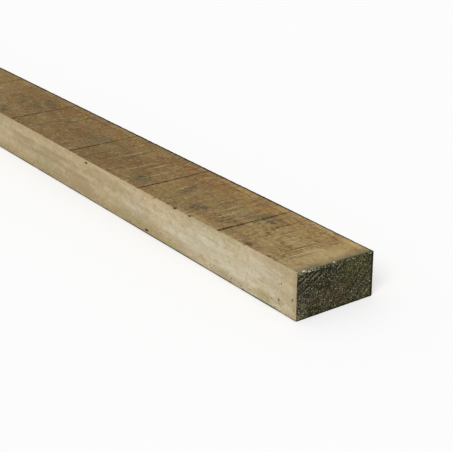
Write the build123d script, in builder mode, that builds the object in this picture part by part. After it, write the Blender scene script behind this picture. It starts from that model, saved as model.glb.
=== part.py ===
from build123d import *
import math
import os

# A rough-sawn pine two-by-four, eight feet long, lying on one of its wide faces.
# It is one stick sawn from the log, so it is one solid.
# +X runs with the grain, +Y across the wide face and +Z up.
# The origin is the middle of the underside, and the near end is the one at +X.

# Driving dimensions of the stick, in millimetres
board_length = 2438.4
board_width = 101.6
board_thickness = 50.8
arris_radius = 0.8

# Deep scores across the upper face. One proud tooth cuts them, once in each turn of the blade.
# They are deepest at the -Y arris, where the tooth enters, and shallow where it leaves at +Y.
# The skew is in degrees off square, and below zero the -Y end of a score is its far end.
score_pitch = 158.0
near_end_to_first_score = 134.0
score_depth_at_entry = 1.0
score_depth_at_exit = 0.4
score_mouth = 1.5
score_floor = 0.5
score_skew = -2.0

# How far the cutting shape stands past the wood, so that it always cuts right through
cut_overrun = 5.0

# Sizes that follow from the ones above
near_end = board_length / 2
score_count = int((board_length - near_end_to_first_score) / score_pitch) + 1
score_row_length = (score_count - 1) * score_pitch
score_row_middle = near_end - near_end_to_first_score - score_row_length / 2
score_depth_in_middle = (score_depth_at_entry + score_depth_at_exit) / 2
score_rise = math.degrees(math.atan((score_depth_at_entry - score_depth_at_exit) / board_width))

# One score as the shape that it takes out of the wood, level, with the face of the board at Z = 0
with BuildPart() as score_shape:
    with BuildSketch(Plane.XZ) as score_section:
        with BuildLine():
            Polyline(
                (-score_mouth / 2, cut_overrun),
                (-score_mouth / 2, 0),
                (-score_floor / 2, -score_depth_in_middle),
                (score_floor / 2, -score_depth_in_middle),
                (score_mouth / 2, 0),
                (score_mouth / 2, cut_overrun),
                close=True,
            )
        make_face()
    extrude(amount=board_width / 2 + cut_overrun, both=True)

# The stick: its sawn section along its length, its long arrises worn, and the scores cut across it
with BuildPart() as two_by_four:
    with BuildSketch(Plane.YZ.offset(-near_end)) as sawn_section:
        with Locations((0, board_thickness / 2)):
            Rectangle(board_width, board_thickness)
        fillet(sawn_section.vertices(), arris_radius)
    extrude(amount=board_length)
    with Locations((score_row_middle, 0, board_thickness)):
        with GridLocations(score_pitch, 0, score_count, 1):
            add(score_shape.part, rotation=(score_rise, 0, score_skew), mode=Mode.SUBTRACT)

two_by_four.part.label = "two_by_four"

os.makedirs("parts", exist_ok=True)
export_step(two_by_four.part, "parts/two_by_four.step")
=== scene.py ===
import math

import bmesh
import bpy
from bpy.props import FloatProperty, FloatVectorProperty, IntProperty, PointerProperty
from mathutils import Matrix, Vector


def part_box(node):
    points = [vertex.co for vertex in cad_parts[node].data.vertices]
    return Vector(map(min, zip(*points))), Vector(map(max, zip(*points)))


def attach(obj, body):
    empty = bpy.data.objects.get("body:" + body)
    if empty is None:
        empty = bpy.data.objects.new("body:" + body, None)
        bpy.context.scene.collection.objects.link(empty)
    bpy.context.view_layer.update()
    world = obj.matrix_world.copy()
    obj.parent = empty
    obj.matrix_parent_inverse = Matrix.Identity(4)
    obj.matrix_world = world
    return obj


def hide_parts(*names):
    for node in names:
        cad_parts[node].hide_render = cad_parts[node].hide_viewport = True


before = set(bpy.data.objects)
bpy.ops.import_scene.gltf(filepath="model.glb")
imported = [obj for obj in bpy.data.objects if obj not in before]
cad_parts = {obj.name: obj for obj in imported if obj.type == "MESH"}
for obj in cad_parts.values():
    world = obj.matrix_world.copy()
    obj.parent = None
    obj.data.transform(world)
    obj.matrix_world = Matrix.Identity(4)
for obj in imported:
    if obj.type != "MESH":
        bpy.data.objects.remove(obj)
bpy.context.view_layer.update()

bl_info = {
    "name": "Rough-sawn two-by-four",
    "version": (1, 0, 0),
    "blender": (4, 5, 0),
    "location": "View3D > Sidebar > Timber",
    "description": "Dresses a rough-sawn board with its saw marks, growth rings, stains and torn ends",
    "category": "Add Mesh",
}

BODY = "root"
NODE = "two_by_four"

# The board's own box, from the frame
LOW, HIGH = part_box(NODE)
LENGTH, WIDTH, THICKNESS = HIGH - LOW
NEAR_END = HIGH.x
HALF_WIDTH = WIDTH / 2
TOUCH = 0.00001


def paint(red, green, blue):
    """A colour as a shader takes it, from its values on a screen, 0 to 255."""
    screen = [channel / 255 for channel in (red, green, blue)]
    return [c / 12.92 if c <= 0.04045 else ((c + 0.055) / 1.055) ** 2.4 for c in screen] + [1]


def swatch(name, about, red, green, blue):
    return FloatVectorProperty(
        name=name, description=about, default=paint(red, green, blue), size=4, min=0, max=1, subtype="COLOR")


def length(name, about, default):
    return FloatProperty(name=name, description=about, default=default, min=0, precision=4, unit="LENGTH")


def angle(name, about, degrees):
    return FloatProperty(name=name, description=about, default=math.radians(degrees), subtype="ANGLE")


# What a user would change


class BoardSizes(bpy.types.PropertyGroup):
    """The board's wear and the marks that the saw left"""

    arris: length("Arris", "How far the long corners are worn off", 0.0008)
    score_pitch: length("Score pitch", "From one deep score to the next, along the board", 0.158)
    first_score: length("First score", "From the near end to the first deep score", 0.134)
    score_entry: length("Depth at entry", "Depth of a deep score on the left, where the tooth enters", 0.001)
    score_exit: length("Depth at exit", "Depth of a deep score on the right, where the tooth leaves", 0.0004)
    score_mouth: length("Score mouth", "How wide a deep score is at the face", 0.0015)
    score_floor: length("Score floor", "How wide a deep score is at its bottom", 0.0005)
    score_skew: angle("Score skew", "How far the saw's marks run off square across the board", -2)
    saw_marks: length("Saw marks", "How deep the fine marks across the sawn faces are", 0.0005)
    end_roughness: length("End roughness", "How rough the cut ends are", 0.0008)
    ring_spacing: length("Ring spacing", "From one growth ring to the next", 0.006)
    swell_left: length("Swell, left", "How much too thick the near end is at its left corner", 0.0034)
    swell_right: length("Swell, right", "How much too thick the near end is at its right corner", 0.001)
    swell_reach: length("Swell reach", "How far from the near end the board is too thick", 0.3)
    sliver: length("Sliver", "How long the torn slivers at the ends are", 0.0032)
    slivers: IntProperty(
        name="Slivers", description="How many torn slivers there are on a square metre of the torn strip",
        default=420000, min=0)


class BoardColours(bpy.types.PropertyGroup):
    """The colours of the wood and of what has stained it"""

    sawn: swatch("Sawn", "Rough-sawn wide faces", 165, 139, 90)
    sawn_dark: swatch("Sawn, dark", "Browner stretches of the wide faces", 118, 91, 54)
    # Pale raised fibres, also used as painted highlight on the ridges of the saw marks
    sawn_light_and_highlight: swatch("Sawn, light", "Raised fibres on the wide faces", 206, 184, 134)
    # Dark wood marks, also used as painted shade in the cuts of the saw marks
    sawn_deep_and_shade: swatch("Saw mark", "The bottoms of saw marks", 70, 51, 29)
    olive: swatch("Olive", "Greener stretches of the wide faces", 130, 114, 72)
    orange: swatch("Orange", "The resinous strip along one arris", 158, 112, 58)
    golden: swatch("Golden", "Bare wood outside the resinous strip", 214, 179, 126)
    mauve: swatch("Mauve", "Bruised brown, along the other arris and in patches", 121, 92, 71)
    mould: swatch("Mould", "Grey-green patches", 92, 84, 62)
    # Painted shade in deep scores and nicks, a dark line on the right arris, dirt and painted contact shadow
    # on the lower arris
    score: swatch("Deep score", "Deep scores, nicks and the dirt along the worn corners", 26, 18, 10)
    edge_face: swatch("Narrow face", "Smoother narrow faces", 220, 209, 183)
    edge_band: swatch("Narrow face bands", "Late wood and brown on the narrow faces", 168, 147, 110)
    edge_pink: swatch("Narrow face, pink", "Warmer stretches of the narrow faces", 202, 179, 138)
    edge_green: swatch("Narrow face, green", "Greener stretches of the narrow faces", 166, 160, 112)
    # Dark end wood, also used as painted shade in the hollows and gouges of the cut ends
    end_dark_and_shade: swatch("End, dark", "The hollows of the cut ends", 22, 20, 10)
    end: swatch("End", "The cut ends", 84, 80, 52)
    # Pale torn fibres, also used as painted highlight on the ridges of the cut ends
    end_light_and_highlight: swatch("End, light", "Torn fibres on the cut ends", 160, 154, 116)
    end_pale: swatch("End margin", "The weathered wood beside the cut ends", 158, 146, 106)
    smear: swatch("Smear", "Grey dirt on the upper face beside the cut ends", 106, 101, 81)
    end_green: swatch("End, green", "Mossy parts of the cut ends", 80, 82, 42)
    end_brown: swatch("End, brown", "Browner parts of the cut ends", 86, 70, 48)
    end_blue: swatch("End, blue", "Blue-stained parts of the cut ends", 62, 62, 54)
    grime: swatch("Grime", "Dark specks on the wide faces", 46, 34, 20)
    sliver: swatch("Sliver", "Fresh torn slivers and the palest wood", 230, 224, 200)
    sliver_dark: swatch("Sliver, dark", "Weathered torn slivers", 150, 143, 114)


class StageSettings(bpy.types.PropertyGroup):
    """The camera, the light and the floor"""

    azimuth: angle("Azimuth", "Which way the camera looks, from +Y towards -X", 53.9)
    elevation: angle("Elevation", "How far the camera looks down", 23.14)
    camera_place: FloatVectorProperty(
        name="Camera place", description="Where the camera stands",
        default=(2.0973, -0.7777, 0.5909), subtype="TRANSLATION")
    lens: FloatProperty(name="Lens", description="Focal length in millimetres", default=101.83)
    sun: FloatProperty(name="Key light", description="Strength of the key light", default=1.8)
    sun_from: FloatVectorProperty(
        name="Key light from", description="The way to the key light",
        default=(0.45, -0.65, 0.7), subtype="DIRECTION")
    sky: FloatProperty(name="Fill light", description="Strength of the even light all round", default=0.55)


# Nodes as arithmetic

# How far apart the stretches of noise lie that each shift gives
NOISE_STEPS = (7.3, 3.1, 5.7)


def by_maths(operation):
    """An operator that puts its values through a Math node."""
    return lambda self, *others: self.maths(operation, self, *others)


class Wire:
    """One output of a node. It is added, multiplied and compared like a number, through Math nodes."""

    def __init__(self, tree, socket=None):
        self.tree = tree
        self.socket = socket

    def node(self, kind, settings=None, values=None, output=0):
        """Adds a node with those settings and values or wires, and gives one of its outputs."""
        made = self.tree.nodes.new(kind)
        for name, setting in (settings or {}).items():
            setattr(made, name, setting)
        for name, value in (values or {}).items():
            if isinstance(value, Wire):
                self.tree.links.new(value.socket, made.inputs[name])
            else:
                made.inputs[name].default_value = value
        return None if output is None else Wire(self.tree, made.outputs[output])

    def maths(self, operation, *values):
        return self.node("ShaderNodeMath", {"operation": operation}, dict(enumerate(values)))

    def vector(self, operation, *values, output="Vector"):
        return self.node("ShaderNodeVectorMath", {"operation": operation}, dict(enumerate(values)), output)

    def __rsub__(self, other):
        return self.maths("SUBTRACT", other, self)

    __add__ = __radd__ = by_maths("ADD")
    __sub__ = by_maths("SUBTRACT")
    __mul__ = __rmul__ = by_maths("MULTIPLY")
    __truediv__ = by_maths("DIVIDE")
    __gt__ = by_maths("GREATER_THAN")
    __lt__ = by_maths("LESS_THAN")
    __abs__ = by_maths("ABSOLUTE")

    def axes(self):
        """The three values of a vector."""
        return [self.node("ShaderNodeSeparateXYZ", {}, {0: self}, axis) for axis in range(3)]

    def joined(self, *values):
        """A vector of three values."""
        return self.node("ShaderNodeCombineXYZ", {}, dict(enumerate(values)))

    def fade(self, start, end, low=0, high=1):
        """Goes smoothly from low to high as this value goes from start to end."""
        settings = {"interpolation_type": "SMOOTHSTEP"}
        return self.node("ShaderNodeMapRange", settings, {
            "Value": self, "From Min": start, "From Max": end, "To Min": low, "To Max": high})

    def clouds(self, size, shift=0, detail=2, roughness=0.5):
        """Noise from 0 to 1 on a place, with blots of that size on each axis, other for each shift."""
        away = [shift * step for step in NOISE_STEPS]
        moved = self.vector("MULTIPLY_ADD", self, [1 / side for side in size], away)
        return self.node("ShaderNodeTexNoise", {}, {
            "Vector": moved, "Scale": 1, "Detail": detail, "Roughness": roughness})

    def stirred(self, size, reach):
        """This place pushed about by up to about half of that reach, in whorls of that size."""
        settings = {"Vector": self, "Scale": 1 / size, "Detail": 3}
        whorls = self.node("ShaderNodeTexNoise", {}, settings, "Color")
        return self.vector("MULTIPLY_ADD", self.vector("SUBTRACT", whorls, [0.5] * 3), [reach] * 3, self)


# Single marks. Each is the middle of a blot, its reach along each axis and its strength.
# They are placed from the near end, from the left arris or from the underside.
MARK_DEPTH = 0.02


def upper_mark(from_end, from_left, half_length, half_width, strength):
    middle = NEAR_END - from_end, from_left - HALF_WIDTH, THICKNESS
    return middle, (half_length, half_width, MARK_DEPTH), strength


def corner_nick(from_end, half_length, reach, strength):
    middle = NEAR_END - from_end, reach * 0.4 - HALF_WIDTH, THICKNESS
    return middle, (half_length, reach, reach * 0.65), strength


def left_mark(from_end, height, half_length, half_height, strength):
    return (NEAR_END - from_end, -HALF_WIDTH, height), (half_length, MARK_DEPTH, half_height), strength


def end_mark(from_left, height, half_width, half_height, strength):
    return (NEAR_END, from_left - HALF_WIDTH, height), (MARK_DEPTH, half_width, half_height), strength


def lip_mark(from_left, depth, half_width, half_height, strength):
    return (NEAR_END, from_left - HALF_WIDTH, THICKNESS), (depth, half_width, half_height), strength


def mark_all(kind, *rows):
    """Single marks of one kind, each from its own row of numbers."""
    return [kind(*row) for row in rows]


MOULD_PATCHES = mark_all(
    upper_mark,
    (0.127, 0.066, 0.024, 0.015, 0.75),
    (0.149, 0.056, 0.014, 0.018, 0.5),
    (0.158, 0.028, 0.016, 0.014, 0.55),
    (0.205, 0.025, 0.022, 0.013, 0.85),
    (0.254, 0.045, 0.011, 0.022, 0.7),
    (0.318, 0.02, 0.026, 0.018, 0.7),
    (0.47, 0.055, 0.035, 0.022, 0.6),
)
SPECKLED_PATCHES = mark_all(
    upper_mark,
    (0.118, 0.058, 0.03, 0.024, 1),
    (0.16, 0.034, 0.026, 0.022, 1),
    (0.203, 0.024, 0.024, 0.014, 1),
    (0.3, 0.03, 0.02, 0.02, 0.6),
    (0.325, 0.028, 0.022, 0.014, 0.9),
    (0.062, 0.018, 0.05, 0.012, 0.3),
)
BARE_PATCHES = [upper_mark(0.175, 0.003, 0.06, 0.01, 0.4)]
LIGHT_STROKES = mark_all(
    upper_mark,
    (0.0352, 0.036, 0.001, 0.027, 0.9),
    (0.0324, 0.043, 0.0008, 0.017, 0.8),
    (0.0455, 0.048, 0.001, 0.026, 0.5),
    (0.073, 0.05, 0.0011, 0.024, 0.6),
    (0.104, 0.045, 0.001, 0.02, 0.5),
    (0.166, 0.036, 0.0012, 0.022, 0.7),
    (0.179, 0.05, 0.0011, 0.026, 0.5),
    (0.262, 0.038, 0.0014, 0.026, 0.6),
    (0.316, 0.044, 0.0014, 0.03, 0.5),
    (0.338, 0.058, 0.0014, 0.024, 0.5),
    (0.352, 0.042, 0.0016, 0.03, 0.5),
    (0.394, 0.06, 0.0016, 0.026, 0.5),
)
DARK_STROKES = mark_all(
    upper_mark,
    (0.0482, 0.046, 0.0011, 0.034, 1),
    (0.0476, 0.056, 0.0012, 0.01, 1),
    (0.0306, 0.032, 0.001, 0.025, 0.9),
    (0.0308, 0.045, 0.0012, 0.008, 1),
    (0.0424, 0.03, 0.0009, 0.016, 0.6),
    (0.056, 0.058, 0.0009, 0.024, 0.4),
    (0.0805, 0.05, 0.0012, 0.013, 0.7),
    (0.094, 0.036, 0.0012, 0.026, 0.6),
    (0.098, 0.041, 0.0036, 0.005, 0.7),
    (0.085, 0.006, 0.007, 0.004, 0.8),
    (0.049, 0.004, 0.006, 0.003, 0.8),
    (0.133, 0.01, 0.0018, 0.016, 1),
    (0.173, 0.046, 0.0012, 0.026, 0.6),
    (0.252, 0.044, 0.0014, 0.02, 0.6),
    (0.259, 0.05, 0.0012, 0.018, 0.6),
    (0.328, 0.034, 0.0012, 0.02, 0.6),
    (0.345, 0.06, 0.0012, 0.022, 0.5),
)
ARRIS_NICKS = mark_all(
    corner_nick,
    (0.189, 0.003, 0.0036, 1.2),
    (0.218, 0.0036, 0.004, 1.3),
    (0.258, 0.002, 0.003, 0.8),
    (0.089, 0.002, 0.0028, 0.6),
) + mark_all(
    left_mark,
    (0.275, 0.0045, 0.005, 0.0022, 1),
    (0.41, 0.047, 0.0046, 0.0018, 1),
    (0.31, 0.004, 0.0024, 0.0014, 0.7),
    (0.246, 0.011, 0.0014, 0.0012, 0.6),
    (0.029, 0.0125, 0.002, 0.003, 0.7),
    (0.007, 0.02, 0.0016, 0.0022, 0.8),
    (0.025, 0.031, 0.0012, 0.0012, 0.9),
    (0.004, 0.01, 0.0012, 0.003, 0.6),
)
GREEN_STAINS = mark_all(
    left_mark,
    (0.225, 0.005, 0.02, 0.006, 0.9),
    (0.054, 0.007, 0.024, 0.008, 0.7),
    (0.3, 0.008, 0.04, 0.007, 0.5),
)
BROWN_STAINS = mark_all(
    left_mark,
    (0.42, 0.015, 0.03, 0.009, 0.6),
    (0.115, 0.006, 0.03, 0.007, 0.5),
    (0.016, 0.018, 0.016, 0.007, 0.5),
    (0.03, 0.01, 0.012, 0.005, 0.6),
    (0.33, 0.036, 0.07, 0.005, 0.4),
    (0.03, 0.047, 0.04, 0.009, 0.6),
)
PALE_STAINS = [left_mark(0.145, 0.025, 0.11, 0.012, 0.3)]
END_GREEN = mark_all(end_mark, (0.078, 0.038, 0.026, 0.018, 1), (0.09, 0.008, 0.016, 0.012, 0.4))
END_BROWN = mark_all(
    end_mark,
    (0.052, 0.016, 0.026, 0.013, 0.9),
    (0.022, 0.016, 0.014, 0.012, 0.8),
    (0.064, 0.028, 0.014, 0.008, 0.6),
)
END_BLUE = mark_all(
    end_mark,
    (0.012, 0.036, 0.018, 0.022, 0.9),
    (0.052, 0.046, 0.024, 0.007, 0.8),
    (0.078, 0.018, 0.016, 0.01, 0.5),
)
END_PALE = mark_all(
    end_mark,
    (0.006, 0.01, 0.01, 0.018, 1),
    (0.006, 0.047, 0.009, 0.006, 2.2),
    (0.086, 0.008, 0.016, 0.01, 0.5),
    (0.014, 0.017, 0.012, 0.0014, 1),
)
END_SHADE = mark_all(
    end_mark,
    (0.014, 0.038, 0.026, 0.018, 0.5),
    (0.04, 0.034, 0.024, 0.018, 0.5),
    (0.04, 0.0462, 0.014, 0.0036, 0.9),
    (0.052, 0.0416, 0.011, 0.0022, 0.9),
    (0.034, 0.0262, 0.009, 0.002, 0.8),
)
END_GOUGES = mark_all(
    end_mark,
    (0.018, 0.0453, 0.008, 0.001, 1),
    (0.0225, 0.0433, 0.01, 0.0011, 1),
    (0.0287, 0.0401, 0.0095, 0.001, 0.9),
    (0.012, 0.0313, 0.008, 0.001, 0.9),
    (0.009, 0.041, 0.007, 0.0011, 0.9),
    (0.034, 0.0452, 0.006, 0.0009, 0.8),
)
END_SLANT = math.radians(28)
TORN_SPOTS = mark_all(
    lip_mark,
    (0.0092, 0.003, 0.0032, 0.0016, 1.1),
    (0.0195, 0.002, 0.003, 0.001, 0.6),
    (0.0485, 0.0024, 0.0024, 0.001, 0.9),
)


def blots(place, marks, soft=0.4):
    """The strength of each mark in its middle, and 0 past its reach."""
    shares = []
    for middle, reach, strength in marks:
        stretch = [1 / side for side in reach]
        off = place.vector("MULTIPLY_ADD", place, stretch, [-m * s for m, s in zip(middle, stretch)])
        shares.append(place.vector("LENGTH", off, output="Value").fade(soft, 1, strength, 0))
    return sum(shares)


# What the tree and the saw left, as fields that the shapes and the colours share.
# A lesser tooth's place is how far past each deep score it bites, along the board.
LESSER_TEETH = (0.061, 0.07, 0.096, 0.112, 0.129)
PITH = (0.1, -0.05)
PITH_WANDER = 0.03
RING_BULGE = 0.008


def saw_frame(place, sizes):
    """The place, with its first axis measured square to the saw's skewed marks."""
    x, y, z = place.axes()
    return place.joined(x + y * math.tan(sizes.score_skew), y, z)


def blade_turns(sawn, sizes):
    """Counts the turns of the blade back from the first deep score."""
    line, _, _ = sawn.axes()
    return (NEAR_END - sizes.first_score - line) / sizes.score_pitch


def swell(place, sizes):
    """How many times its even thickness the board is. It swells at the near end, more so on the left."""
    x, y, _ = place.axes()
    slope = (sizes.swell_left - sizes.swell_right) / WIDTH
    too_thick = (sizes.swell_left + sizes.swell_right) / 2 - y * slope
    return x.fade(NEAR_END - sizes.swell_reach, NEAR_END) * too_thick / THICKNESS + 1


def before_swell(place, sizes):
    """Where a place on the board would lie if its thickness were even."""
    x, y, z = place.axes()
    return place.joined(x, y, z / swell(place, sizes))


def score_distance(sawn, sizes):
    """How far a place lies from the nearest deep score."""
    turns = blade_turns(sawn, sizes)
    return abs(turns - turns.maths("ROUND", turns)) * sizes.score_pitch


def lesser_marks(sawn, sizes):
    """1 in the cuts of the lesser teeth, where they bit. They come again with each turn of the blade."""
    turns = blade_turns(sawn, sizes)
    past = turns.maths("FRACT", turns) * sizes.score_pitch
    nearest = abs(past - LESSER_TEETH[0])
    for tooth in LESSER_TEETH[1:]:
        nearest = past.maths("MINIMUM", nearest, abs(past - tooth))
    return nearest.fade(0.0004, 0.0013, 1, 0) * sawn.clouds((0.02, 0.03, 0.03), 12, 2).fade(0.46, 0.58)


def saw_marks(sawn, sizes):
    """The fine marks across a sawn face, from about -1 in the cuts to 1 on the ridges."""
    _, y, _ = sawn.axes()
    turn = blade_turns(sawn, sizes) * (2 * math.pi)
    wheel = sawn.joined(turn.maths("COSINE", turn) * 3.5, turn.maths("SINE", turn) * 3.5, y * 8)
    again = wheel.clouds((1, 1, 1), 1, 3) - 0.5
    own = sawn.clouds((0.0045, 0.035, 1), 2, 2) - 0.5
    fine = sawn.clouds((0.0022, 0.014, 1), 3, 1) - 0.5
    patches = sawn.clouds((0.05, 0.03, 1), 4, 2).fade(0.36, 0.64, 0.25, 1)
    return (again * 1.4 + own * 1.7 + fine * 2.0) * patches


def ring_number(place, sizes):
    """Counts the growth rings outwards from the pith, which lies outside the board and wanders along it."""
    x, y, z = place.axes()
    spine = place.joined(x, 0, 0)
    across = y - PITH[0] - (spine.clouds((0.9, 1, 1), 5, 1) - 0.5) * PITH_WANDER
    up = z - PITH[1] - (spine.clouds((0.7, 1, 1), 6, 1) - 0.5) * PITH_WANDER
    radius = place.maths("SQRT", across * across + up * up)
    bulge = place.clouds((0.3, 0.03, 0.03), 7, 2) - 0.5
    return (radius + bulge * RING_BULGE) / sizes.ring_spacing


def late_wood(place, sizes):
    """1 in the dark late wood at the outside of each ring, and 0 in the early wood."""
    rings = ring_number(place, sizes)
    part = rings.maths("FRACT", rings)
    return part.fade(0.35, 0.9) * part.fade(0.92, 1, 1, 0)


def end_grit(place):
    """The grit of a torn end, from 0 in its hollows to 1."""
    return place.clouds((0.004, 0.0015, 0.0015), 9, 2, 0.6)


def slanted(place):
    """The place turned so that its second axis slants up to the right across the end, as the tearing does."""
    turn = {"Vector": place, "Angle": -END_SLANT}
    return place.node("ShaderNodeVectorRotate", {"rotation_type": "X_AXIS"}, turn)


def torn_furrows(place):
    """The furrows along which the saw tore the end grain, from 0 to 1."""
    return slanted(place).clouds((1, 0.008, 0.0017), 41, 2, 0.6)


def broken_lip(place):
    """How far the upper arris of a cut end has broken out, from 0 to 1. It is worst on the left."""
    _, y, _ = place.axes()
    return place.clouds((1, 0.005, 1), 53, 3, 0.6).fade(0.4, 0.66) * y.fade(-0.02, 0.005, 1, 0.1)


def end_gouges(place):
    """1 in the few deep gouges at the end's upper left corner."""
    tilted = []
    for (x, y, z), reach, strength in END_GOUGES:
        along = y * math.cos(END_SLANT) + z * math.sin(END_SLANT)
        up = z * math.cos(END_SLANT) - y * math.sin(END_SLANT)
        tilted.append(((x, along, up), reach, strength))
    return blots(slanted(place.stirred(0.006, 0.0016)), tilted)


def torn_spots(place):
    """1 in the pale spots where the upper arris of the near end is torn out."""
    return blots(place.stirred(0.002, 0.003), TORN_SPOTS)


# Small tools for modelling


def work_in(mode):
    bpy.ops.object.mode_set(mode=mode)


def pick(parts, test):
    """Selects the edges or the faces that pass a test, and nothing else."""
    bpy.ops.mesh.select_mode(type="EDGE" if parts == "edges" else "FACE")
    bpy.ops.mesh.select_all(action="DESELECT")
    work = bmesh.from_edit_mesh(bpy.context.edit_object.data)
    chosen = [part for part in getattr(work, parts) if test(part)]
    for part in chosen:
        part.select_set(True)
    bmesh.update_edit_mesh(bpy.context.edit_object.data)


def runs_along(edge, axis):
    """Whether an edge runs with an axis, give or take the saw's skew."""
    a, b = (corner.co for corner in edge.verts)
    return abs((b - a)[axis]) > 0.9 * (b - a).length


def faces_along(face, axis):
    """Whether a face looks along an axis, one way or the other."""
    return abs(face.normal[axis]) > 0.8


def lies_on(part, axis, place):
    """Whether an edge or a face lies in the plane where that axis has that value."""
    return all(abs(corner.co[axis] - place) < TOUCH for corner in part.verts)


def cut_across(place, normal):
    bpy.ops.mesh.select_all(action="SELECT")
    bpy.ops.mesh.bisect(plane_co=(place, 0, 0), plane_no=normal)


def new_block(name, low, high):
    """A block of that name between two corners, with its object at the origin."""
    bpy.ops.object.select_all(action="DESELECT")
    bpy.ops.mesh.primitive_cube_add(size=1, location=(low + high) / 2, scale=high - low)
    block = bpy.context.object
    block.name = block.data.name = name
    bpy.ops.object.transform_apply(location=True, rotation=True, scale=True)
    return block


def run_nodes(piece, name, make):
    """Runs a piece's mesh through Geometry Nodes and applies them. make turns the mesh into the new one."""
    tree = bpy.data.node_groups.new(name, "GeometryNodeTree")
    for way in ("INPUT", "OUTPUT"):
        tree.interface.new_socket("Geometry", in_out=way, socket_type="NodeSocketGeometry")
    start = Wire(tree).node("NodeGroupInput")
    start.node("NodeGroupOutput", {}, {0: make(start)}, None)
    modifier = piece.modifiers.new(name, "NODES")
    modifier.node_group = tree
    bpy.ops.object.modifier_apply(modifier=name)


# The board's mesh

ROWS_WIDE = 16
ROWS_NARROW = 8
COLLAR = 0.002
COLUMN_CUTS = 38
TOP_CUTS = 3
END_CUTS = 5


def cut_board(sizes):
    """The board as a closed block, cut into rows, columns and the lips of its scores."""
    board = new_block("sawn_board", LOW, HIGH)
    work_in("EDIT")
    pick("edges", lambda edge: runs_along(edge, 1))
    bpy.ops.mesh.subdivide(number_cuts=ROWS_WIDE - 1)
    pick("edges", lambda edge: runs_along(edge, 2))
    bpy.ops.mesh.subdivide(number_cuts=ROWS_NARROW - 1)
    for place in (NEAR_END - COLLAR, COLLAR - NEAR_END):
        cut_across(place, (1, 0, 0))
    across_saw = (math.cos(sizes.score_skew), math.sin(sizes.score_skew), 0)
    score = NEAR_END - sizes.first_score
    while score > COLLAR - NEAR_END:
        for lip in (-sizes.score_mouth, -sizes.score_floor, sizes.score_floor, sizes.score_mouth):
            cut_across(score + lip / 2, across_saw)
        score -= sizes.score_pitch
    pick("edges", lambda edge: runs_along(edge, 0) and edge.calc_length() > sizes.score_mouth + COLLAR)
    bpy.ops.mesh.subdivide(number_cuts=COLUMN_CUTS)
    pick("faces", lambda face: lies_on(face, 0, NEAR_END) or lies_on(face, 0, -NEAR_END))
    bpy.ops.mesh.subdivide(number_cuts=END_CUTS)

    def is_arris(edge):
        at_side = all(abs(abs(corner.co.y) - HALF_WIDTH) < TOUCH for corner in edge.verts)
        return at_side and runs_along(edge, 0) and (lies_on(edge, 2, 0) or lies_on(edge, 2, THICKNESS))

    pick("edges", is_arris)
    bpy.ops.mesh.bevel(offset=sizes.arris, segments=2, affect="EDGES")
    pick("edges", lambda edge: runs_along(edge, 0) and lies_on(edge, 2, THICKNESS)
         and edge.calc_length() > COLLAR * 1.01)
    bpy.ops.mesh.subdivide(number_cuts=TOP_CUTS)
    work_in("OBJECT")
    return board


LATE_WOOD_RISE = 0.00012
SIDE_WANDER = 0.0004
NICK_DEPTH = 0.0011
CHIP_DEPTH = 0.0005
WEAR_DEPTH = 0.0005
# How many times the wear the burr and the flare stand out, and where the burr starts and is full
BURR = 2.4
FLARE = 2
BURR_REACH = (0.03, 0.2)


def board_relief(place, sizes):
    """How far each corner of the board's mesh moves, for its scores, marks, chips and rough ends."""
    x, y, z = place.axes()
    top = z > THICKNESS - TOUCH
    bottom = z < TOUCH
    left = y < TOUCH - HALF_WIDTH
    right = y > HALF_WIDTH - TOUCH
    near = x > NEAR_END - TOUCH
    far = x < TOUCH - NEAR_END
    sawn = saw_frame(place, sizes)
    late = late_wood(place, sizes)

    # The sawn faces: deep scores on the upper one only, and fine marks on both
    slope = (sizes.score_entry - sizes.score_exit) / WIDTH
    depth = (sizes.score_entry + sizes.score_exit) / 2 - y * slope
    score = score_distance(sawn, sizes).fade(sizes.score_floor / 2, sizes.score_mouth / 2, 1, 0) * depth
    marks = (0.5 - saw_marks(sawn, sizes) * 0.5 + lesser_marks(sawn, sizes) * 0.4) * sizes.saw_marks

    # The narrow faces: raised late wood and a slow swell
    side = late * LATE_WOOD_RISE + place.clouds((0.08, 0.012, 0.012), 8) * SIDE_WANDER

    # The cut ends: grit, furrows and gouges
    rough = 1.2 - end_grit(place) * 0.9 - torn_furrows(place) * 0.8 + end_gouges(place) * 1.6
    lip = broken_lip(place) * top * (near + far)
    end = (rough - late * 0.15 + lip) * sizes.end_roughness

    # The long corners: worn unevenly and chipped, with a burr at the upper right, where the tooth
    # leaves, a flare at the lower left and single nicks on the left
    edge_y = abs(y) > HALF_WIDTH - sizes.arris - TOUCH
    edge_z = abs(z - THICKNESS / 2) > THICKNESS / 2 - sizes.arris - TOUCH
    corner = edge_y * edge_z
    chips = place.clouds((0.012, 0.3, 0.3), 10, 2).fade(0.64, 0.76) * CHIP_DEPTH
    worn = place.clouds((0.005, 0.3, 0.3), 11, 2) * WEAR_DEPTH
    flare = (y < 0) * (z < THICKNESS / 2) * FLARE
    burr = (y > 0) * (z > THICKNESS / 2) * (NEAR_END - x).fade(*BURR_REACH, 0, BURR)
    inward = corner * (worn * (1 - burr - flare) + chips)
    downward = corner * (worn * (1 - burr) + chips)
    nicks = blots(place, ARRIS_NICKS) * NICK_DEPTH
    up_sign = z.maths("SIGN", z - THICKNESS / 2)
    out_sign = y.maths("SIGN", y)
    thicker = (swell(place, sizes) - 1) * z
    return place.joined(
        (far - near) * end,
        (left - right) * side - out_sign * inward + left * nicks,
        bottom * marks - top * (score + marks + nicks) - up_sign * downward + thicker)


# The map that the board's colours are baked to: each long face in strips, one above another, and the ends

BAKE_MAP = "OFBake"
STRIPS = 3
MAP_MARGIN = 0.006
MAP_GAP = 0.003


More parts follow.
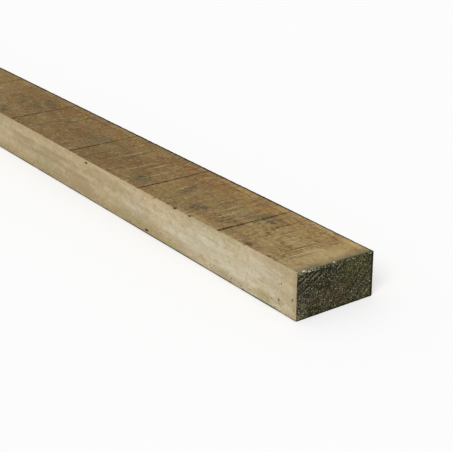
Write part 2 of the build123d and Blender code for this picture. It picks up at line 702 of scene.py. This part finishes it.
def add_bake_map(board):
    """Lays the board's faces out flat on their own map."""
    strip = LENGTH / STRIPS
    # Each kind of face has an axis across it, its width on the map and its number of rows
    kinds = {"top": (1, WIDTH, STRIPS), "bottom": (1, WIDTH, STRIPS), "left": (2, THICKNESS, STRIPS),
             "right": (2, THICKNESS, STRIPS), "ends": (2, WIDTH, 1)}
    rows, heights = {}, sum(height * count for _, height, count in kinds.values())
    scale = (1 - MAP_GAP * (1 + sum(count for _, _, count in kinds.values()))) / heights
    reached = MAP_GAP
    for kind, (_, height, count) in kinds.items():
        rows[kind] = [reached + number * (height * scale + MAP_GAP) for number in range(count)]
        reached = rows[kind][-1] + height * scale + MAP_GAP

    def spot_on_map(kind, row, co):
        axis, height, _ = kinds[kind]
        if kind == "ends":
            # The ends stand side by side, each as wide as fits half the map
            across = (co.y + HALF_WIDTH) / WIDTH * (0.5 - 2 * MAP_MARGIN) + MAP_MARGIN
            return across + row * 0.5, rows[kind][0] + co.z / THICKNESS * height * scale
        along = (NEAR_END - co.x) / strip - row
        return MAP_MARGIN + along * (1 - 2 * MAP_MARGIN), rows[kind][row] + (co[axis] - LOW[axis]) * scale

    mesh = board.data
    mesh.uv_layers[0].name = BAKE_MAP
    spots = mesh.uv_layers[0].uv
    for face in mesh.polygons:
        normal = face.normal
        row = min(STRIPS - 1, int((NEAR_END - face.center.x) / strip))
        if faces_along(face, 0):
            kind, row = "ends", int(normal.x < 0)
        elif abs(normal.z) > abs(normal.y):
            kind = "top" if normal.z > 0 else "bottom"
        else:
            kind = "right" if normal.y > 0 else "left"
        for corner in face.loop_indices:
            spots[corner].vector = spot_on_map(kind, row, mesh.vertices[mesh.loops[corner].vertex_index].co)


# Materials

DULL_SHINE = 0.12
# Where the wood further in takes over from single marks, from the near end
FURTHER_IN = (0.46, 0.6)


class Coats:
    """A colour that is laid on coat by coat. Each call lays a paint over the last, by its share."""

    def __init__(self, colour):
        self.colour = colour

    def __call__(self, share, paint):
        self.colour = share.node(
            "ShaderNodeMix", {"data_type": "RGBA"}, {0: share, 6: self.colour, 7: paint}, 2)


def cleared(holder):
    """Empties the nodes of a material or a world, and gives a start for new ones."""
    holder.use_nodes = True
    holder.node_tree.nodes.clear()
    return Wire(holder.node_tree)


def new_material(name):
    """An empty material, and its object's coordinates."""
    material = bpy.data.materials.new(name)
    return material, cleared(material).node("ShaderNodeTexCoord", output="Object")


def board_material(name, sizes):
    """An empty material for the board, and the places on it before the swell."""
    material, place = new_material(name)
    return material, before_swell(place, sizes)


def dull_wood(colour, roughness, height, depth):
    """Ends a material as dull wood, with a height from 0 to 1 as relief of that depth."""
    bump = colour.node("ShaderNodeBump", {}, {"Height": height, "Distance": depth, "Strength": 1})
    wood = colour.node("ShaderNodeBsdfPrincipled", {}, {
        "Base Color": colour, "Roughness": roughness, "Normal": bump, "Specular IOR Level": DULL_SHINE})
    colour.node("ShaderNodeOutputMaterial", {}, {"Surface": wood}, None)


def fresher_wood(place, from_end, shift):
    """Patches from 0 to 1, well in from the near end, where the wood has darkened less."""
    return from_end.fade(0.5, 0.9) * place.clouds((0.35, 0.3, 0.3), shift, 2).fade(0.35, 0.65)


def sawn_material(sizes, paints):
    material, place = board_material("rough_sawn_pine", sizes)
    x, y, z = place.axes()
    from_end = NEAR_END - x
    sawn = saw_frame(place, sizes)
    loose = place.stirred(0.018, 0.016)
    marks = saw_marks(sawn, sizes)
    lesser = lesser_marks(sawn, sizes)

    # Slow changes: golden at the near end, browner further in, with olive and brown stretches
    tone = place.clouds((0.14, 0.05, 0.05), 20, 3).fade(0.32, 0.68)
    browner = from_end.fade(0.02, 0.42) * (1 - fresher_wood(place, from_end, 46) * 0.6)
    coat = Coats(paints.sawn)
    coat(tone * 0.4 + browner * 0.8, paints.sawn_dark)
    coat(loose.clouds((0.05, 0.03, 0.05), 25, 3).fade(0.45, 0.68) * 0.45, paints.olive)
    margin = loose.axes()[1]
    bruised = tone.fade(0, 1, 0.2, 0.6) * from_end.fade(0.09, 0.15, 1.4, 0.3)
    coat(margin.fade(0.022 - HALF_WIDTH, 0.008 - HALF_WIDTH) * bruised, paints.mauve)

    # The resinous strip along the right arris, with a thin dark line and bare wood outside it, and
    # a bare patch on the left
    ragged = place.stirred(0.03, 0.008).axes()[1]
    patchy = place.clouds((0.05, 0.02, 1), 23, 3).fade(0.38, 0.62, 0.1, 0.8)
    warm = ragged.fade(HALF_WIDTH - 0.044, HALF_WIDTH - 0.022, 0, 0.5)
    warm = warm * ragged.fade(HALF_WIDTH - 0.014, HALF_WIDTH - 0.008, 1, 0.4)
    warm = warm * patchy.fade(0, 1, 0.5, 1) * from_end.fade(0.16, 0.4, 1, 0.4)
    coat(warm, paints.orange)
    bare = ragged.fade(HALF_WIDTH - 0.015, HALF_WIDTH - 0.006) * from_end.fade(0.15, 0.35, 0.5, 0.15)
    coat(bare * patchy, paints.golden)
    line = abs(ragged - (HALF_WIDTH - 0.0115)).fade(0.0002, 0.0011, 1, 0)
    line = line * from_end.fade(0.02, 0.08, 0.2, 0.8) * patchy
    coat(line, paints.sawn_deep_and_shade)
    coat(blots(loose, BARE_PATCHES, 0), paints.sawn_light_and_highlight)

    # Mould, in single patches near the end and anywhere further in
    further = from_end.fade(*FURTHER_IN)
    clouded = loose.clouds((0.045, 0.024, 0.024), 21, 3, 0.6).fade(0.54, 0.7)
    mould = blots(loose, MOULD_PATCHES) + clouded * (further * 0.7 + 0.15)
    streaked = sawn.clouds((0.003, 0.02, 0.02), 27, 2).fade(0.3, 0.6, 0.35, 1)
    coat(mould * streaked, paints.mould)

    # Wood that is mottled in hue and in tone, and over it the saw's marks: painted shade in the cuts
    # and painted highlight on the ridges
    hue = place.clouds((0.026, 0.013, 0.01), 57, 3, 0.6)
    coat(hue.fade(0.5, 0.66) * 0.55, paints.mauve)
    coat(hue.fade(0.48, 0.32) * 0.45, paints.olive)
    mottle = place.clouds((0.0046, 0.003, 0.003), 38, 2, 0.65)
    crisp = from_end.fade(0.04, 0.16, 1.5, 1)
    coat(mottle.fade(0.48, 0.28) * crisp * 0.45, paints.sawn_deep_and_shade)
    coat(mottle.fade(0.54, 0.74) * crisp * 0.34, paints.sawn_light_and_highlight)
    coat((0 - marks).fade(0.05, 1) * 0.7, paints.sawn_deep_and_shade)
    coat(marks.fade(0.1, 1.1) * 0.55, paints.sawn_light_and_highlight)
    # Painted shade in the cuts of the lesser teeth
    coat(lesser * 0.55, paints.sawn_deep_and_shade)
    broken = sawn.clouds((0.004, 0.007, 0.01), 28, 2).fade(0.32, 0.54, 0.35, 1)
    coat(blots(sawn, DARK_STROKES) * broken, paints.sawn_deep_and_shade)
    coat(blots(sawn, LIGHT_STROKES) * broken, paints.sawn_light_and_highlight)

    # Specks, thick where the mould is, and torn fibres
    speckled = blots(loose, SPECKLED_PATCHES) + clouded * further
    specks = sawn.clouds((0.0022, 0.0045, 0.01), 22, 1)
    coat(specks.fade(0.56, 0.66) * speckled * 0.8, paints.grime)
    coat(specks.fade(0.7, 0.76) * 0.7, paints.grime)
    fuzz = sawn.clouds((0.0016, 0.008, 0.01), 24, 2, 0.6)
    coat(fuzz.fade(0.6, 0.72) * 0.38, paints.sawn_light_and_highlight)
    fibres = place.clouds((0.022, 0.0014, 0.01), 29, 2, 0.6)
    coat(fibres.fade(0.42, 0.26) * 0.35, paints.sawn_deep_and_shade)

    # The deep scores, painted nearly black as shade in the grooves, darkest where the tooth enters
    distance = score_distance(sawn, sizes)
    upper = z > THICKNESS / 2
    entry = sawn.axes()[1].fade(-HALF_WIDTH * 0.5, HALF_WIDTH * 0.7, 1, 0.75)
    ragged_lip = sawn.clouds((0.004, 0.008, 0.01), 26, 2).fade(0.35, 0.65, 0.0006, 0.0014) + entry * 0.0007
    splintered = from_end.fade(0.16, 0.15) * sawn.axes()[1].fade(-0.034, -0.01, 0.001, 0)
    score_shade = distance.fade(ragged_lip * 0.5, ragged_lip + splintered, 1, 0)
    dashes = sawn.clouds((0.01, 0.0028, 0.01), 56, 1).fade(0.35, 0.55, 0.45, 1)
    coat(score_shade * upper * entry * dashes, paints.score)

    # Beside the cut ends: a pale zone, bleached wood, grey dirt and torn spots
    at_end = loose.axes()[0]
    pale = abs(at_end).fade(NEAR_END - 0.013, NEAR_END - 0.002) * tone.fade(0, 1, 0.8, 1)
    coat(pale * y.fade(-HALF_WIDTH, 0, 0.3, 0.7), paints.end_pale)
    golden = from_end.fade(0.055, 0.025) * (1 - abs(y + 0.002).fade(0.02, 0.036))
    coat(golden * 0.22, paints.sawn_light_and_highlight)
    bleached = loose.clouds((0.03, 0.022, 0.02), 45, 2).fade(0.45, 0.62)
    bleached = bleached * from_end.fade(0.02, 0.14, 0.26, 0.04)
    coat(bleached, paints.sawn_light_and_highlight)
    dirty = loose.clouds((0.012, 0.01, 0.01), 58, 3, 0.6).fade(0.3, 0.6, 0.55, 1)
    smear = abs(at_end).fade(NEAR_END - 0.013, NEAR_END - 0.003) * dirty
    coat(smear * upper * abs(y).fade(0.034, 0.047, 0.8, 0.5), paints.smear)
    spilled = abs(place.stirred(0.006, 0.004).axes()[0]).fade(NEAR_END - 0.0035, NEAR_END - 0.001)
    coat(spilled * upper * y.fade(-HALF_WIDTH, 0.02, 0.4, 0.9), paints.end)
    coat(torn_spots(place), paints.sliver)

    # The arrises: a dark line along the right, rubbed wood on the left, and nicks on the left painted near
    # black as shade
    worn = place.clouds((0.012, 0.01, 0.01), 43, 2)
    right_arris_line = (y + worn * 0.001).fade(HALF_WIDTH - 0.0027, HALF_WIDTH - 0.0011) * worn.fade(0.3, 0.6, 0.85, 1)
    coat(right_arris_line, paints.score)
    rubbed = place.stirred(0.008, 0.0016).axes()[1].fade(0.0022 - HALF_WIDTH, 0.0006 - HALF_WIDTH)
    coat(rubbed * upper * 0.7, paints.edge_pink)
    coat(blots(place, ARRIS_NICKS), paints.score)

    dull_wood(coat.colour, mould.fade(0, 1, 0.86, 0.95), marks * 0.2 + fuzz * 0.5 + fibres * 0.2, 0.0006)
    return material


def narrow_material(sizes, paints):
    material, place = board_material("planed_pine", sizes)
    x, _, z = place.axes()
    from_end = NEAR_END - x
    loose = place.stirred(0.02, 0.012)
    late = late_wood(place, sizes)

    # Slow changes: paler near the end, and soft bands, pink and green stretches
    tone = place.clouds((0.16, 0.03, 0.014), 30, 3)
    browner = from_end.fade(0.16, 0.4) * (1 - fresher_wood(place, from_end, 47) * 0.7)
    shade = tone.fade(0.36, 0.66) * 0.32 + browner * 0.66 + late * from_end.fade(0.03, 0.2, 0.1, 0.25)
    coat = Coats(paints.edge_face)
    coat(shade, paints.edge_band)
    coat(z.fade(THICKNESS - 0.016, THICKNESS - 0.006) * 0.35, paints.edge_pink)
    coat(z.fade(0.022, 0.008) * from_end.fade(0.12, 0.26) * 0.95, paints.edge_band)
    coat(from_end.fade(0.075, 0.04) * 0.26, paints.edge_band)
    pinker = place.clouds((0.05, 0.03, 0.02), 33, 2).fade(0.45, 0.62)
    coat(pinker * 0.5, paints.edge_pink)
    greener = place.clouds((0.09, 0.03, 0.018), 34, 2).fade(0.5, 0.66)
    coat(greener * 0.3, paints.edge_green)
    mottle = place.clouds((0.016, 0.01, 0.0036), 35, 3, 0.6)
    uneven = from_end.fade(0.1, 0.22, 1, 0.6)
    coat(mottle.fade(0.5, 0.72) * uneven * 0.34, paints.edge_band)
    coat(mottle.fade(0.48, 0.28) * uneven * 0.22, paints.sliver)
    grain = place.clouds((0.0032, 0.0022, 0.0024), 55, 2, 0.6)
    coat(grain.fade(0.53, 0.74) * 0.38, paints.edge_band)
    coat(grain.fade(0.47, 0.26) * 0.3, paints.sliver)
    blotched = place.clouds((0.012, 0.01, 0.007), 39, 3, 0.6)
    coat(blotched.fade(0.48, 0.7) * 0.55, paints.edge_band)

    # Stains: single ones near the end, and others anywhere further in along the lower arris
    further = from_end.fade(*FURTHER_IN)
    low = loose.axes()[2].fade(0.014, 0.002)
    patches = loose.clouds((0.05, 0.03, 0.03), 36, 3).fade(0.48, 0.64)
    green = blots(loose, GREEN_STAINS) * 0.8 + low * patches * (further + 0.2) * 0.5
    coat(green, paints.edge_green)
    coat(blots(loose, PALE_STAINS) * 0.8, paints.sliver)
    brown = blots(loose, BROWN_STAINS) * 0.7 + low * (1 - patches) * 0.25
    coat(brown, paints.edge_band)

    # Fibres, a few specks, and the nicks painted near black as shade
    fibres = place.clouds((0.026, 0.0014, 0.0014), 31, 3, 0.6)
    coat(fibres.fade(0.54, 0.78) * 0.35, paints.edge_band)
    specks = place.clouds((0.003, 0.0022, 0.0018), 32, 1)
    coat(specks.fade(0.735, 0.775) * 0.7, paints.sawn_deep_and_shade)
    coat(specks.fade(0.64, 0.7) * low * 0.8, paints.sawn_deep_and_shade)
    coat(blots(place.stirred(0.004, 0.002), ARRIS_NICKS), paints.score)

    # Dirt and painted contact shadow along the lower arris, and browner wood beside the cut ends
    # The patchy dark line below is partly dirt and partly painted contact shadow
    grime = place.clouds((0.03, 1, 1), 37, 2).fade(0.35, 0.6, 0.5, 0.95)
    coat(z.fade(0.0025, 0.0009) * grime, paints.score)
    at_end = abs(loose.axes()[0]).fade(NEAR_END - 0.01, NEAR_END - 0.001)
    coat(at_end * 0.6, paints.edge_band)
    dull_wood(coat.colour, fibres.fade(0, 1, 0.75, 0.9), fibres * 0.6 + mottle * 0.4, 0.0004)
    return material


def end_material(sizes, paints):
    material, place = board_material("end_grain", sizes)
    _, _, z = place.axes()
    loose = place.stirred(0.012, 0.012)
    late = late_wood(place, sizes)
    grit = end_grit(place)
    furrows = torn_furrows(place)

    # Slow changes: green, brown, blue, pale and shaded stretches
    tone = loose.clouds((1, 0.02, 0.014), 40, 3).fade(0.35, 0.65)
    coat = Coats(paints.end)
    coat(tone * 0.6, paints.end_dark_and_shade)
    flecked = grit.fade(0.44, 0.58) * 0.55
    for marks, over, share in ((END_GREEN, paints.end_green, 0.6), (END_BROWN, paints.end_brown, 0.6),
                               (END_BLUE, paints.end_blue, 0.6), (END_PALE, paints.end_light_and_highlight, flecked),
                               (END_SHADE, paints.end_dark_and_shade, 0.7)):
        coat(blots(loose, marks) * share, over)

    # Rings, furrows and grit: painted shade in the hollows, and pale torn fibres with painted highlight on
    # them
    coat(late * 0.4, paints.end_dark_and_shade)
    coat(furrows.fade(0.5, 0.32) * 0.6, paints.end_dark_and_shade)
    coat(furrows.fade(0.56, 0.76) * 0.22, paints.end_light_and_highlight)
    coat(grit.fade(0.5, 0.32) * 0.9, paints.end_dark_and_shade)
    coat(grit.fade(0.56, 0.74) * 0.7, paints.end_light_and_highlight)
    sparks = slanted(place).clouds((0.004, 0.0022, 0.0012), 42, 1).fade(0.66, 0.76)
    coat(sparks * 0.8, paints.sliver_dark)
    dots = place.clouds((0.004, 0.0013, 0.0013), 54, 0).fade(0.72, 0.8)
    coat(dots * 0.8, paints.sliver)

    # Gouges painted dark as shade, with pale lips, and the torn upper arris
    gouges = end_gouges(place)
    coat(gouges, paints.end_dark_and_shade)
    lips = end_gouges(place.vector("ADD", place, (0, -0.0006, 0.0014))) * (1 - gouges)
    coat(lips * 0.3, paints.sliver_dark)
    broken = broken_lip(place)
    torn = z.fade(THICKNESS - 0.0004 - broken * 0.0012, THICKNESS - broken * 0.0004)
    torn = torn * broken.fade(0.1, 0.6, 0.2, 1) * grit.fade(0.35, 0.6, 0.1, 0.7)
    coat(torn, paints.sliver_dark)
    coat(torn_spots(place), paints.sliver)

    # Dirt along the right and lower arrises
    _, rim_y, rim_z = place.stirred(0.004, 0.002).axes()
    rim = rim_y.fade(HALF_WIDTH - 0.0042, HALF_WIDTH - 0.0016) + rim_z.fade(0.0026, 0.0008)
    coat(rim * 0.9, paints.end_dark_and_shade)
    dull_wood(coat.colour, grit.fade(0, 1, 0.85, 0.95), grit * 0.6 + furrows * 0.4, 0.0012)
    return material


def sliver_material(paints):
    material, place = new_material("torn_pine")
    tone = place.clouds((0.006, 0.006, 0.006), 50, 2)
    coat = Coats(paints.sliver_dark)
    coat(tone.fade(0.46, 0.7), paints.sliver)
    fibres = place.clouds((0.004, 0.0004, 0.0004), 51, 2)
    dull_wood(coat.colour, tone.fade(0, 1, 0.8, 0.95), fibres, 0.0001)
    return material


def give_slots(board, materials):
    """Gives the board its materials: wide faces first, then the narrow faces and then the ends."""
    for material in materials:
        board.data.materials.append(material)
    work_in("EDIT")
    for slot, axis in ((1, 1), (2, 0)):
        pick("faces", lambda face: faces_along(face, axis))
        bpy.context.object.active_material_index = slot
        bpy.ops.object.material_slot_assign()
    work_in("OBJECT")


# Slivers

BED_DEPTH = 0.001
SLIVER_TIP = 0.00005
SLIVER_BASE = 0.0003
SLIVER_LEAN = ((0.1, -1, -0.3), (0.9, 1, 0.3))
SLIVER_STRETCH = ((0.6, 0.4, 0.35), (1.5, 0.8, 1.1))
POINT_SEED, LEAN_SEED, STRETCH_SEED = 4, 5, 6


def sliver_beds():
    """Thin bars just inside the upper arris of each end, for the slivers to stand on."""
    beds = []
    for low, high in ((-NEAR_END, COLLAR - NEAR_END), (NEAR_END - COLLAR, NEAR_END)):
        beds.append(new_block(
            "torn_fibres",
            Vector((low, BED_DEPTH - HALF_WIDTH, THICKNESS - 2 * BED_DEPTH)),
            Vector((high, HALF_WIDTH - BED_DEPTH, THICKNESS - BED_DEPTH))))
    for bed in beds:
        bed.select_set(True)
    bpy.ops.object.join()
    bpy.context.object.name = bpy.context.object.data.name = "torn_fibres"
    return bpy.context.object


def grow_slivers(beds, sizes, material):
    """Stands thin slivers all over the beds, leaning out from the end that they are at."""
    def at_random(limits, seed):
        return beds.node("FunctionNodeRandomValue", {"data_type": "FLOAT_VECTOR"}, {
            0: limits[0], 1: limits[1], "Seed": seed})

    place = beds.node("GeometryNodeInputPosition")
    out, along, height = place.axes()
    tufts = place.clouds((1, 0.006, 1), 52, 2).fade(0.4, 0.62) * along.fade(-HALF_WIDTH, 0.03, 1, 0.2)
    points = beds.node("GeometryNodeDistributePointsOnFaces", {}, {
        "Mesh": beds, "Density": tufts * sizes.slivers, "Seed": POINT_SEED})
    sliver = beds.node("GeometryNodeMeshCone", {}, {
        "Vertices": 4, "Radius Top": SLIVER_TIP, "Radius Bottom": SLIVER_BASE, "Depth": sizes.sliver})
    lean_x, lean_y, lean_z = at_random(SLIVER_LEAN, LEAN_SEED).axes()
    way = beds.node("FunctionNodeAlignRotationToVector", {"axis": "Z"}, {
        "Vector": beds.joined(lean_x * out.maths("SIGN", out), lean_y, lean_z)})
    stretch = at_random(SLIVER_STRETCH, STRETCH_SEED)
    stood = beds.node("GeometryNodeInstanceOnPoints", {}, {
        "Points": points, "Instance": sliver, "Rotation": way, "Scale": stretch})
    real = beds.node("GeometryNodeRealizeInstances", {}, {"Geometry": stood})
    raised = beds.node("GeometryNodeSetPosition", {}, {
        "Geometry": real, "Offset": beds.joined(0, 0, (swell(place, sizes) - 1) * height)})
    return beds.node("GeometryNodeSetMaterial", {}, {"Geometry": raised, "Material": material})


# Operators

SMOOTH_ANGLE = math.radians(50)
WHITE = (1, 1, 1, 1)
FLOOR_GREY = (0.6, 0.6, 0.6, 1)
FLOOR_SIZE = 40
FLOOR_DROP = 0.0003
FLOOR_GLOW = 0.42
LAMP_SPREAD = math.radians(30)


class TIMBER_OT_board(bpy.types.Operator):
    """Saws the board: its block, its deep scores, its fine marks, its worn corners and its rough ends"""

    bl_idname = "timber.board"
    bl_label = "Sawn board"

    def execute(self, context):
        sizes = context.scene.board_sizes
        paints = context.scene.board_colours
        board = cut_board(sizes)
        add_bake_map(board)
        give_slots(board, [make(sizes, paints) for make in (sawn_material, narrow_material, end_material)])
        run_nodes(board, "relief", lambda mesh: mesh.node("GeometryNodeSetPosition", {}, {
            "Geometry": mesh, "Offset": board_relief(mesh.node("GeometryNodeInputPosition"), sizes)}))
        bpy.ops.object.shade_smooth_by_angle(angle=SMOOTH_ANGLE)
        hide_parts(NODE)
        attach(board, BODY)
        return {"FINISHED"}


class TIMBER_OT_fibres(bpy.types.Operator):
    """Stands the torn slivers along the upper arris of both ends"""

    bl_idname = "timber.fibres"
    bl_label = "Torn fibres"

    def execute(self, context):
        sizes = context.scene.board_sizes
        material = sliver_material(context.scene.board_colours)
        fibres = sliver_beds()
        run_nodes(fibres, "slivers", lambda beds: grow_slivers(beds, sizes, material))
        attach(fibres, BODY)
        return {"FINISHED"}


class TIMBER_OT_stage(bpy.types.Operator):
    """Sets up the floor, the light and the camera"""

    bl_idname = "timber.stage"
    bl_label = "Stage"

    def execute(self, context):
        settings = context.scene.stage_settings
        bpy.ops.object.select_all(action="DESELECT")
        bpy.ops.mesh.primitive_plane_add(size=FLOOR_SIZE, location=(0, 0, -FLOOR_DROP))
        floor = context.object
        floor.name = "floor"
        bpy.ops.object.transform_apply(location=True, rotation=True, scale=True)
        material = bpy.data.materials.new("pale_floor")
        start = cleared(material)
        seen = start.node("ShaderNodeLightPath", output="Is Camera Ray")
        matt = start.node("ShaderNodeBsdfDiffuse", {}, {"Color": FLOOR_GREY})
        glow = start.node("ShaderNodeEmission", {}, {"Color": WHITE, "Strength": seen * FLOOR_GLOW})
        both = start.node("ShaderNodeAddShader", {}, {0: matt, 1: glow})
        start.node("ShaderNodeOutputMaterial", {}, {"Surface": both}, None)
        floor.data.materials.append(material)

        context.scene.world = bpy.data.worlds.new("white_room")
        start = cleared(context.scene.world)
        paths = ["Is Camera Ray", "Is Glossy Ray", "Is Transmission Ray"]
        seen = sum(start.node("ShaderNodeLightPath", output=path) for path in paths)
        strength = seen.maths("MINIMUM", seen, 1) * (1 - settings.sky) + settings.sky
        sky = start.node("ShaderNodeBackground", {}, {"Color": WHITE, "Strength": strength})
        start.node("ShaderNodeOutputWorld", {}, {"Surface": sky}, None)

        facing = Vector(settings.sun_from).to_track_quat("Z", "Y").to_euler()
        bpy.ops.object.light_add(type="SUN", rotation=facing)
        lamp = context.object
        lamp.name = "key_light"
        lamp.data.energy = settings.sun
        lamp.data.angle = LAMP_SPREAD

        bpy.ops.object.camera_add(
            location=settings.camera_place,
            rotation=(math.pi / 2 - settings.elevation, 0, settings.azimuth))
        camera = context.object
        camera.data.lens = settings.lens
        context.scene.camera = camera
        context.scene.view_settings.view_transform = "Standard"
        return {"FINISHED"}


class TIMBER_PT_panel(bpy.types.Panel):
    """Lists what can be made"""

    bl_idname = "TIMBER_PT_panel"
    bl_label = "Rough-sawn two-by-four"
    bl_space_type = "VIEW_3D"
    bl_region_type = "UI"
    bl_category = "Timber"

    def draw(self, context):
        for operator in MAKERS:
            self.layout.operator(operator.bl_idname)


MAKERS = [TIMBER_OT_board, TIMBER_OT_fibres, TIMBER_OT_stage]
GROUPS = {"board_sizes": BoardSizes, "board_colours": BoardColours, "stage_settings": StageSettings}
CLASSES = [*GROUPS.values(), *MAKERS, TIMBER_PT_panel]


def register():
    for kind in CLASSES:
        bpy.utils.register_class(kind)
    for name, group in GROUPS.items():
        setattr(bpy.types.Scene, name, PointerProperty(type=group))


def unregister():
    for name in GROUPS:
        delattr(bpy.types.Scene, name)
    for kind in reversed(CLASSES):
        bpy.utils.unregister_class(kind)


def main():
    register()
    bpy.ops.timber.board()
    bpy.ops.timber.fibres()
    bpy.ops.timber.stage()


if __name__ == "__main__":
    main()
